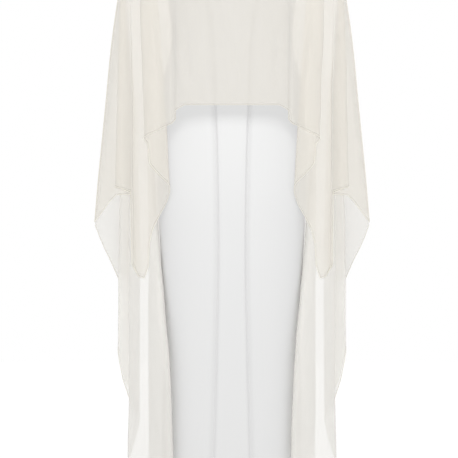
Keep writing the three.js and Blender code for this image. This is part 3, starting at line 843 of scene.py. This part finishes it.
@dataclass
class Dress:
    """The column dress: a centre front, two side fronts and a back, in crepe."""

    rows: int = 120
    thickness: float = 1.0
    edge_radius: float = 0.9

    def __post_init__(self) -> None:
        """Prepares the tables of the rings."""
        heights = [ring.z for ring in DRESS_RINGS]
        self.tables = {
            name: HeightTable(heights, [getattr(ring, name) for ring in DRESS_RINGS])
            for name in ("half_width", "front", "back", "seam")
        }

    def point(self, angle: Points, z: Points) -> Points:
        """A point on the dress: the angle is 0 at the centre front and a half turn at the centre back.

        Args:
            angle: Angles round the dress.
            z: Heights.

        Returns:
            A point for each pair of them.
        """
        power = 2 / RING_SQUARENESS
        sine, cosine = np.sin(angle), np.cos(angle)
        reach = np.where(cosine >= 0, self.tables["front"].at(z), self.tables["back"].at(z))
        x = self.tables["half_width"].at(z) * np.sign(sine) * np.abs(sine) ** power
        y = -reach * np.sign(cosine) * np.abs(cosine) ** power
        return np.stack(np.broadcast_arrays(x, y, z), axis=-1)

    def seam_angle(self, z: Points, share: float) -> Points:
        """The angle at a share of the way from the centre front to the front seam."""
        x = share * self.tables["seam"].at(z)
        return np.arcsin((x / self.tables["half_width"].at(z)) ** (RING_SQUARENESS / 2))

    def side_angle(self, z: Points, share: float) -> Points:
        """The angle at a share of the way from the front seam to the side seam."""
        seam = self.seam_angle(z, 1.0)
        return seam + (math.pi / 2 - seam) * share

    def back_angle(self, z: Points, share: float) -> Points:
        """The angle at a share of the way from the centre back to the side seam."""
        return np.full(np.shape(z), math.pi - (math.pi / 2) * share)

    def top(self, edge: TopEdge, start: float, shoulder: float, angle: Callable, share: float) -> Points:
        """The top edge of a piece: the neck and the shoulder, and then the armhole.

        Args:
            edge: The neck and shoulder line.
            start: The distance along it at the piece's first column.
            shoulder: The share of the piece at the shoulder's outer end.
            angle: The ring angle at a height and a share.
            share: The place across the piece, from 0 to 1.

        Returns:
            The point in millimetres.
        """
        shoulder_end = edge.neck_length + SHOULDER_LENGTH
        if share <= shoulder:
            place, past_neck = edge.at(start + (shoulder_end - start) * share / shoulder)
            return place if past_neck else place * np.array([1, NECK_SHRINK, 1])
        end = edge.at(shoulder_end)[0]
        fraction = (share - shoulder) / (1 - shoulder)
        z = end[2] - float(ARMHOLE.at(np.array(fraction)))
        lift = end - self.point(angle(np.array(end[2]), shoulder), np.array(end[2]))
        return self.point(angle(np.array(z), share), np.array(z)) + lift * (1 - fraction) ** 2

    def panel(self, edge: TopEdge, start: float, shoulder: float, angle: Callable) -> Points:
        """The grid of one half or one piece of the dress, from the share 0 to 1.

        Args:
            edge: The neck and shoulder line.
            start: The distance along it at the first column.
            shoulder: The share at the shoulder's outer end, over 1 where it is past the piece's far edge.
            angle: The ring angle at a height and a share.

        Returns:
            The points, rows by columns.
        """
        shares = np.unique(np.concatenate([EVEN_SHARES, EDGE_SHARES, [min(shoulder, 1.0)]]))
        columns = []
        for share in shares:
            top = self.top(edge, start, shoulder, angle, float(share))
            z = top[2] - row_drop(np.linspace(0, 1, self.rows + 1), top[2] - DRESS_HEM)
            correction = top - self.point(angle(top[2:3], share), top[2:3])[0]
            fade = (1 - np.minimum((top[2] - z) / SETTLE, 1)) ** 2
            points = self.point(angle(z, share), z) + fade[:, None] * correction
            points[:, 2] = z
            columns.append(points)
        return np.stack(columns, axis=1)

    def dip(self, grid: Points, column: int) -> Points:
        """Rolls the cloth inwards beside a seam.

        Args:
            grid: A piece's points.
            column: The column that lies on the seam.

        Returns:
            The moved points.
        """
        inward = grid * np.array([-1.0, -1.0, 0.0])
        inward /= np.maximum(np.linalg.norm(inward, axis=2, keepdims=True), 1)
        away = np.linalg.norm(grid - grid[:, [column]], axis=2)
        return grid + inward * (SEAM_DIP * np.exp(-((away / SEAM_DIP_WIDTH) ** 2)))[..., None]

    def sheets(self) -> list[Sheet]:
        """Builds the grids of the four pieces.

        Returns:
            The centre front, the two side fronts and the back.
        """
        front, back = TopEdge(Face.FRONT, SHOULDER_INSET), TopEdge(Face.BACK, SHOULDER_INSET)
        to_seam = front.neck_length + SEAM_TOP_PAST_NECK
        shoulder = (front.neck_length + SHOULDER_LENGTH) / to_seam
        centre = self.dip(self.panel(front, 0, shoulder, self.seam_angle), -1)
        side = self.dip(self.panel(front, to_seam, SHOULDER_SHARE, self.side_angle), 0)
        rear = self.panel(back, 0, BACK_SHOULDER_SHARE, self.back_angle)
        grids = {
            "dress_centre_front": np.concatenate([mirrored(centre[:, :0:-1]), centre], axis=1),
            "dress_side_front_left": side,
            "dress_side_front_right": mirrored(side[:, ::-1]),
            "dress_back": np.concatenate([mirrored(rear[:, :0:-1]), rear], axis=1),
        }
        return [Sheet(name, grid, self.thickness) for name, grid in grids.items()]


# ---------------------------------------------------------------- finishes


class Wire:
    """A number in a material's nodes. Python's operators on it add the Math nodes."""

    def __init__(self, paint: "Paint", socket: bpy.types.NodeSocket) -> None:
        """Keeps the socket and the paint whose nodes it is in."""
        self.paint = paint
        self.socket = socket

    def math(self, operation: str, other: "Wire | float", swapped: bool = False) -> "Wire":
        """Joins this number and another with a Math node.

        Args:
            operation: The Math node's operation.
            other: A wire or a plain number.
            swapped: True if the other comes first.

        Returns:
            The result.
        """
        pair = (other, self) if swapped else (self, other)
        node = self.paint.node("ShaderNodeMath", {"operation": operation}, dict(enumerate(pair)))
        return Wire(self.paint, node.outputs[0])

    def __add__(self, other: "Wire | float") -> "Wire":
        """Adds."""
        return self.math("ADD", other)

    def __sub__(self, other: "Wire | float") -> "Wire":
        """Takes the other from this."""
        return self.math("SUBTRACT", other)

    def __rsub__(self, other: float) -> "Wire":
        """Takes this from the other."""
        return self.math("SUBTRACT", other, swapped=True)

    def __mul__(self, other: "Wire | float") -> "Wire":
        """Multiplies."""
        return self.math("MULTIPLY", other)

    __radd__ = __add__
    __rmul__ = __mul__


class Paint:
    """A material and its nodes, while it is put together."""

    def __init__(self, name: str) -> None:
        """Starts an empty material.

        Args:
            name: The material's name.
        """
        self.material = bpy.data.materials.new(name)
        self.material.use_nodes = True
        self.tree = self.material.node_tree
        self.tree.nodes.clear()

    def node(self, kind: str, settings: dict, sockets: dict) -> bpy.types.Node:
        """Adds a node.

        Args:
            kind: The node's type.
            settings: Its own settings, which are made first.
            sockets: Values, wires or sockets for its inputs, by name or number.

        Returns:
            The node.
        """
        node = self.tree.nodes.new(kind)
        for key, value in settings.items():
            setattr(node, key, value)
        for key, value in sockets.items():
            if isinstance(value, Wire):
                value = value.socket
            if isinstance(value, bpy.types.NodeSocket):
                self.tree.links.new(value, node.inputs[key])
            else:
                node.inputs[key].default_value = value
        return node

    def cloth_place(self, scale: tuple[float, float]) -> bpy.types.NodeSocket:
        """Places on the flat cloth, in metres across and down, scaled.

        Args:
            scale: The scale across and down.

        Returns:
            The places.
        """
        uv = self.node("ShaderNodeUVMap", {"uv_map": "cloth"}, {})
        sockets = {"Vector": uv.outputs[0], "Scale": (*scale, 1.0)}
        return self.node("ShaderNodeMapping", {}, sockets).outputs[0]

    def noise(self, scale: tuple[float, float], detail: float) -> Wire:
        """Soft noise on the flat cloth, about 0 to 1.

        Args:
            scale: Spots in a metre, across and down.
            detail: The noise's detail.

        Returns:
            The noise.
        """
        sockets = {"Vector": self.cloth_place(scale), "Scale": 1.0, "Detail": detail}
        node = self.node("ShaderNodeTexNoise", {"noise_dimensions": "2D"}, sockets)
        return Wire(self, node.outputs[0])

    def threads(self, spacing: float, direction: str) -> Wire:
        """The rise and fall of a cloth's yarns, from 0 to 1.

        Args:
            spacing: The distance between yarns in metres.
            direction: X for the yarns that run down the cloth and Y for those across it.

        Returns:
            The height.
        """
        # At scale 1, the bands of a wave texture are this far apart.
        wave_length = math.tau / 20
        settings = {"wave_type": "BANDS", "bands_direction": direction, "wave_profile": "SIN"}
        sockets = {"Vector": self.cloth_place((1, 1)), "Scale": wave_length / spacing, "Distortion": 0.0}
        return Wire(self, self.node("ShaderNodeTexWave", settings, sockets).outputs["Fac"])

    def blend(self, share: Wire, first: tuple, second: tuple) -> bpy.types.NodeSocket:
        """A colour between two, by a wire's number."""
        node = self.node("ShaderNodeMix", {"data_type": "RGBA"}, {0: share, 6: first, 7: second})
        return node.outputs[2]

    def bump(self, height: Wire, distance: float, strength: float) -> bpy.types.NodeSocket:
        """The normals of a surface with a height in metres."""
        sockets = {"Height": height, "Distance": distance, "Strength": strength}
        return self.node("ShaderNodeBump", {}, sockets).outputs[0]

    def finish(self, sockets: dict) -> bpy.types.Material:
        """Ends the material with its surface shader.

        Args:
            sockets: What the shader's sockets take.

        Returns:
            The material.
        """
        shader = self.node("ShaderNodeBsdfPrincipled", {}, sockets)
        self.node("ShaderNodeOutputMaterial", {}, {"Surface": shader.outputs[0]})
        return self.material


Colour = tuple[float, float, float, float]


@dataclass(frozen=True)
class ChiffonFinish:
    """Sheer ivory chiffon: fine crepe yarns with open spaces between them."""

    name: str
    yarn: Colour
    shade: Colour
    cover: float
    yarn_spacing: float = 0.0011

    def material(self) -> bpy.types.Material:
        """Builds the material; `cover` is the share of what is behind that one skin of the sheet hides.

        Returns:
            The material.
        """
        paint = Paint(self.name)
        weave = paint.threads(self.yarn_spacing, "X") * paint.threads(self.yarn_spacing, "Y")
        slubs = paint.noise((420, 14), 2.0)
        clouds = paint.noise((5, 2.2), 1.0)
        cover = self.cover - 0.02 + 0.05 * weave + 0.02 * (slubs - 0.5) + 0.04 * (clouds - 0.5)
        grain = 0.6 * weave + 0.4 * slubs
        return paint.finish(
            {
                "Base Color": paint.blend(clouds * 0.75 + slubs * 0.25, self.yarn, self.shade),
                "Roughness": 0.82 - 0.12 * weave,
                "Alpha": cover,
                "Normal": paint.bump(grain, 0.00025, 0.35),
                "Sheen Weight": 0.15,
                "Sheen Roughness": 0.5,
                "Specular IOR Level": 0.25,
            }
        )


@dataclass(frozen=True)
class CrepeFinish:
    """Matt cool white crepe: a pebbled grain of tightly twisted yarns."""

    name: str
    light: Colour
    shade: Colour
    grain_across: float = 900
    grain_down: float = 620

    def material(self) -> bpy.types.Material:
        """Builds the material.

        Returns:
            The material.
        """
        paint = Paint(self.name)
        pebbles = paint.noise((self.grain_across, self.grain_down), 2.0)
        slubs = paint.noise((300, 14), 1.0)
        clouds = paint.noise((6, 2.5), 1.0)
        return paint.finish(
            {
                "Base Color": paint.blend(clouds * 0.7 + pebbles * 0.3, self.light, self.shade),
                "Roughness": 0.6 + 0.15 * pebbles,
                "Normal": paint.bump(pebbles * 0.7 + slubs * 0.3, 0.0003, 0.4),
                "Sheen Weight": 0.1,
                "Sheen Roughness": 0.4,
                "Specular IOR Level": 0.3,
            }
        )


@dataclass(frozen=True)
class ThreadFinish:
    """Sewing thread and rolled edges: a twist along them, seen only close by."""

    name: str
    light: Colour
    shade: Colour
    twist: float = 0.0012

    def material(self) -> bpy.types.Material:
        """Builds the material from the object's own coordinates, because a thread has no flat cloth.

        Returns:
            The material.
        """
        paint = Paint(self.name)
        place = paint.node("ShaderNodeTexCoord", {}, {}).outputs["Object"]
        sockets = {"Vector": place, "Scale": 1 / self.twist, "Detail": 2.0}
        grain = Wire(paint, paint.node("ShaderNodeTexNoise", {}, sockets).outputs[0])
        return paint.finish(
            {
                "Base Color": paint.blend(grain, self.light, self.shade),
                "Roughness": 0.7 + 0.1 * grain,
                "Normal": paint.bump(grain, 0.0002, 0.4),
                "Sheen Weight": 0.1,
            }
        )


@dataclass(frozen=True)
class Finishes:
    """All the gown's materials, by what they dress."""

    chiffon_front: bpy.types.Material
    chiffon_back: bpy.types.Material
    crepe: bpy.types.Material
    rolled: bpy.types.Material
    turned: bpy.types.Material
    binding: bpy.types.Material
    thread: bpy.types.Material


def make_finishes() -> Finishes:
    """Mixes the gown's materials.

    Returns:
        All of them.
    """
    # The front and back panels are one chiffon. Its front copy is painted darker and yellower and its back
    # copy lighter: painted shade and light that give each the tone it shows under its own lamps.
    ivory, ivory_shade = (0.676, 0.647, 0.59, 1), (0.654, 0.623, 0.564, 1)
    back_ivory, back_shade = (0.725, 0.713, 0.685, 1), (0.703, 0.69, 0.661, 1)
    white, white_shade = (0.645, 0.645, 0.642, 1), (0.625, 0.626, 0.626, 1)
    cream, cream_shade = (0.69, 0.665, 0.585, 1), (0.66, 0.63, 0.545, 1)
    return Finishes(
        chiffon_front=ChiffonFinish("chiffon_front", ivory, ivory_shade, 0.42).material(),
        chiffon_back=ChiffonFinish("chiffon_back", back_ivory, back_shade, 0.42).material(),
        crepe=CrepeFinish("crepe", white, white_shade).material(),
        rolled=ThreadFinish("rolled_hem", cream, cream_shade).material(),
        turned=ThreadFinish("turned_edge", white, white_shade).material(),
        binding=CrepeFinish("binding", cream, cream_shade).material(),
        thread=ThreadFinish("thread", cream, white, 0.0006).material(),
    )


# ---------------------------------------------------------------- the neck

# The band's section: for each point, its share of the wall across the band and of the height up it.
BAND_SECTION = (
    (-0.5, 0.06),
    (-0.3, 0),
    (0.3, 0),
    (0.5, 0.06),
    (0.5, 0.7),
    (0.34, 0.92),
    (0, 1),
    (-0.34, 0.92),
    (-0.5, 0.7),
)


@dataclass
class NeckBinding:
    """A narrow folded band that stands on the neck edge, with the stitches that close it."""

    height: float = 8.0
    wall: float = 2.4
    clearance: float = 1.1
    lean: float = 0.45
    rings: int = 180
    stitch_spacing: float = 3.6
    stitch_height: float = 1.6
    stitch_radius: float = 0.24

    def frames(self, share: Points) -> tuple[Points, Points, Points]:
        """Places on the neck edge, with the band's ways across and up.

        Args:
            share: Places round the neck, from 0 to 1.

        Returns:
            The points, the ways out of the band's face and the ways up it.
        """
        step = 1e-3
        place = curve_points(NECK_RING, True, share % 1)
        ahead = curve_points(NECK_RING, True, (share + step) % 1)
        behind = curve_points(NECK_RING, True, (share - step) % 1)
        forward = ahead - behind
        forward /= np.linalg.norm(forward, axis=1, keepdims=True)
        out = place * np.array([1, 1, 0])
        out /= np.linalg.norm(out, axis=1, keepdims=True)
        up = np.array([0, 0, 1.0]) - self.lean * out
        up -= forward * np.sum(up * forward, axis=1, keepdims=True)
        up /= np.linalg.norm(up, axis=1, keepdims=True)
        return place, np.cross(forward, up), up

    def build(self, finishes: Finishes) -> list[bpy.types.Object]:
        """Makes the band and its stitches.

        Args:
            finishes: The gown's materials.

        Returns:
            The band and then the stitches.
        """
        place, across, up = self.frames(np.arange(self.rings) / self.rings)
        rows = [
            place + (across * out * self.wall + up * (self.clearance + rise * self.height))
            for out, rise in BAND_SECTION
        ]
        points = np.stack(rows, axis=1)
        count = len(BAND_SECTION)
        index = np.arange(self.rings * count).reshape(self.rings, count)
        ahead, beside = np.roll(index, -1, axis=0), np.roll(index, -1, axis=1)
        corners = np.stack([index, beside, np.roll(beside, -1, axis=0), ahead], axis=-1).reshape(-1, 4)
        mesh = bpy.data.meshes.new("neck_band")
        mesh.from_pydata((points.reshape(-1, 3) * MM).tolist(), [], corners.tolist())
        uv = mesh.uv_layers.new(name="cloth")
        length = along(np.vstack([place, place[:1]]))
        for loop in mesh.loops:
            ring, corner = divmod(loop.vertex_index, count)
            uv.data[loop.index].uv = (length[ring] * MM, corner * 2 * self.height / count * MM)
        smooth_and_paint(mesh, finishes.binding)
        band = add_object("neck_band", mesh)
        face_outwards(band)
        return [band, self.stitches(finishes)]

    def stitches(self, finishes: Finishes) -> bpy.types.Object:
        """Makes the line of stitches near the band's lower edge, on its outer face.

        Args:
            finishes: The gown's materials.

        Returns:
            The stitches, as one object.
        """
        total = along(np.vstack([NECK_RING, NECK_RING[:1]]))[-1]
        count = round(total / self.stitch_spacing)
        along_stitch = np.array([0.14, 0.5, 0.86])
        proud = np.array([0.02, 0.16, 0.02])
        out = self.wall / 2 + proud
        rise = self.clearance + self.stitch_height
        lines = []
        for k in range(count):
            place, across, up = self.frames((k + along_stitch) / count)
            lines.append(place + across * out[:, None] + up * rise)
        return tube("neck_stitches", lines, self.stitch_radius, finishes.thread, sides=4)


# ---------------------------------------------------------------- the studio


class Lit(Enum):
    """The groups of pieces that lamps light, and the group that throws shade on the dress."""

    DRESS = "lit_dress"
    OVERLAY = "lit_overlay"
    OVERLAY_BACK = "lit_overlay_back"
    SHADE = "throws_shade"

    def group(self) -> bpy.types.Collection:
        """The group's collection, which is made when it is first asked for."""
        return bpy.data.collections.get(self.value) or bpy.data.collections.new(self.value)

    def take(self, piece: bpy.types.Object) -> None:
        """Puts a piece in the group."""
        self.group().objects.link(piece)


@dataclass(frozen=True)
class Lamp:
    """A soft square lamp that lights one group of pieces. Places are in metres and the power is in watts.

    The sheer layers take even light without the shadows of the layers over them, as light that passes from
    layer to layer gives them. The dress takes the shadows of its own pieces and of the overlay's front.
    """

    name: str
    place: tuple[float, float, float]
    aim: tuple[float, float, float]
    size: float
    power: float
    lit: Lit

    def hang(self) -> None:
        """Adds the lamp to the scene."""
        data = bpy.data.lights.new(self.name, "AREA")
        data.shape = "SQUARE"
        data.size = self.size
        data.energy = self.power
        data.use_shadow = self.lit is Lit.DRESS
        lamp = add_object(self.name, data)
        lamp.location = self.place
        lamp.visible_camera = False
        lamp.light_linking.receiver_collection = self.lit.group()
        lamp.light_linking.blocker_collection = Lit.SHADE.group()
        lamp.rotation_euler = (Vector(self.aim) - Vector(self.place)).to_track_quat("-Z", "Y").to_euler()


LAMPS = (
    Lamp("key_right", (-0.6, -2.0, 0.65), (0, 0, -0.75), 1.0, 15, Lit.DRESS),
    Lamp("key_left", (0.6, -2.0, 0.65), (0, 0, -0.75), 1.0, 13, Lit.DRESS),
    Lamp("key_behind", (0.4, 2.0, 0.6), (0, 0, -0.7), 1.2, 12, Lit.DRESS),
    Lamp("side_right", (-2.4, -0.9, 0.1), (0, 0, -0.7), 1.2, 2.5, Lit.DRESS),
    Lamp("side_left", (2.4, -0.9, 0.1), (0, 0, -0.7), 1.2, 2.5, Lit.DRESS),
    Lamp("fill", (0.2, -2.7, 0.0), (0, 0, -0.8), 1.6, 21, Lit.OVERLAY),
    Lamp("fill_inside", (-0.2, -2.7, 0.0), (0, 0, -0.9), 1.6, 10, Lit.OVERLAY_BACK),
    Lamp("fill_right", (-2.6, -0.7, 0.0), (0, 0, -0.9), 1.6, 7, Lit.OVERLAY_BACK),
    Lamp("fill_left", (2.6, -0.7, 0.0), (0, 0, -0.9), 1.6, 7, Lit.OVERLAY_BACK),
    Lamp("fill_behind", (-1.6, 2.1, 0.3), (0, 0, -0.8), 1.2, 10, Lit.OVERLAY),
)


@dataclass(frozen=True)
class Studio:
    """A white room with soft light, and the camera, in metres."""

    pixel: float = 0.00254
    frame_pixels: int = 458
    eye_distance: float = 8.0
    middle_column: float = 229.0
    centre_column: float = 232.0
    top_above_frame: float = 130.0
    sensor: float = 36.0
    floor_gap: float = 0.012
    floor_size: float = 14.0
    sheer_layers: int = 64
    light_bounces: int = 6
    floor_grey: float = 0.35
    floor_glow: float = 0.66

    def camera(self) -> None:
        """Sets the camera level with the middle of the view, straight in front."""
        data = bpy.data.cameras.new("camera")
        data.sensor_width = self.sensor
        data.lens = self.sensor * self.eye_distance / (self.frame_pixels * self.pixel)
        data.clip_end = 100
        eye = add_object("camera", data)
        x = (self.middle_column - self.centre_column) * self.pixel
        z = -(self.frame_pixels / 2 + self.top_above_frame) * self.pixel
        eye.location = (x, -self.eye_distance, z)
        eye.rotation_euler = (math.pi / 2, 0, 0)
        bpy.context.scene.camera = eye

    def floor(self, lowest: float) -> None:
        """Lays a pale floor just below the gown.

        Args:
            lowest: The gown's lowest height.
        """
        bpy.ops.object.select_all(action="DESELECT")
        bpy.ops.mesh.primitive_plane_add(size=self.floor_size, location=(0, 0, lowest - self.floor_gap))
        floor = bpy.context.view_layer.objects.active
        floor.name = "floor"
        paint = Paint("pale_floor")
        shader = {
            "Base Color": (self.floor_grey, self.floor_grey, self.floor_grey, 1),
            "Roughness": 0.9,
            "Emission Color": (1, 1, 1, 1),
            "Emission Strength": self.floor_glow,
        }
        floor.data.materials.append(paint.finish(shader))
        floor.visible_diffuse = False
        floor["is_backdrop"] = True

    def light(self) -> None:
        """Fills the room with even white light, and hangs the lamps."""
        scene = bpy.context.scene
        scene.view_settings.view_transform = "Standard"
        scene.view_settings.look = "None"
        world = bpy.data.worlds.new("white_room")
        world.use_nodes = True
        background = world.node_tree.nodes["Background"]
        background.inputs["Color"].default_value = (1, 1, 1, 1)
        background.inputs["Strength"].default_value = 1.0
        scene.world = world
        scene.cycles.transparent_max_bounces = self.sheer_layers
        scene.cycles.diffuse_bounces = self.light_bounces
        for lamp in LAMPS:
            lamp.hang()


# ---------------------------------------------------------------- the gown


@dataclass
class Gown:
    """The whole gown: it builds each piece, dresses it and ties it to the frame."""

    finishes: Finishes
    arm_seam_radius: float = 0.9
    arm_seam_points: int = 160

    def attach(self, piece: bpy.types.Object, slot: str, nodes: Sequence[str] = ()) -> None:
        """Ties a finished piece to the frame.

        Args:
            piece: The piece.
            slot: The piece's cloth: crepe puts it in the dress's lamp groups, and any other in the
                overlay's.
            nodes: The CAD nodes that it stands for.
        """
        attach(piece, BODY)
        groups = (Lit.DRESS, Lit.SHADE) if slot == "crepe" else (Lit.OVERLAY,)
        for group in groups:
            group.take(piece)
        if nodes:
            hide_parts(*nodes)
        LOG.info("%s: %d faces", piece.name, len(piece.data.polygons))

    def declare(self, sheet: Sheet) -> None:
        """Measures a sheet's cloth area, and keeps nothing of it.

        Args:
            sheet: Its grid.
        """
        area = sheet.area()

    def overlay(self, panel: OverlayPanel, cloth: bpy.types.Material) -> None:
        """Makes a chiffon panel with its rolled hem.

        The front throws the lamps' shade on the dress, but lets the room's light through to it.

        Args:
            panel: The panel.
            cloth: Its finish.
        """
        sheet = panel.sheet()
        piece = sheet.build(cloth)
        hem = tube(panel.name + "_rolled_hem", [sheet.grid[-1]], panel.hem_radius, self.finishes.rolled)
        self.attach(piece, "chiffon", [panel.name])
        self.attach(hem, "chiffon")
        if panel.face is Face.BACK:
            Lit.OVERLAY_BACK.take(piece)
        else:
            Lit.SHADE.take(piece)
            piece.visible_diffuse = False
        self.declare(sheet)

    def arm_seams(self) -> None:
        """Makes the two long seams over the shoulders and down the sleeves."""
        line = curve_points(ARM_LINE, False, np.linspace(0, 1, self.arm_seam_points))
        seams = tube("arm_seams", [line, mirrored(line)], self.arm_seam_radius, self.finishes.rolled)
        self.attach(seams, "chiffon")

    def dress(self, dress: Dress) -> None:
        """Makes the dress's pieces, each with its turned edges.

        Args:
            dress: The dress.
        """
        for sheet in dress.sheets():
            piece = sheet.build(self.finishes.crepe)
            lines = [sheet.grid[0], sheet.grid[-1]]
            edges = tube(sheet.name + "_turned_edges", lines, dress.edge_radius, self.finishes.turned)
            self.attach(piece, "crepe", [sheet.name])
            self.attach(edges, "crepe")
            self.declare(sheet)

    def neck(self, neck: NeckBinding) -> None:
        """Makes the neck's band and stitches.

        Args:
            neck: The neck's binding.
        """
        band, stitches = neck.build(self.finishes)
        self.attach(band, "binding", ["neck_binding"])
        self.attach(stitches, "binding")

    def build(self) -> None:
        """Builds every piece in order."""
        front = OverlayPanel("overlay_front", Face.FRONT, FRONT_FOLDS, FRONT_LEVELS, FRONT_CREASES, 90)
        back = OverlayPanel("overlay_back", Face.BACK, BACK_FOLDS, BACK_LEVELS, BACK_CREASES, 110)
        self.dress(Dress())
        self.overlay(front, self.finishes.chiffon_front)
        self.overlay(back, self.finishes.chiffon_back)
        self.arm_seams()
        self.neck(NeckBinding())


def main() -> None:
    """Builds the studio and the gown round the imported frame."""
    logging.basicConfig(level=logging.INFO, format="%(name)s: %(message)s")
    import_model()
    cad_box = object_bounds()
    studio = Studio()
    studio.camera()
    studio.light()
    studio.floor(cad_box[0][2])
    Gown(make_finishes()).build()


if __name__ == "__main__":
    main()
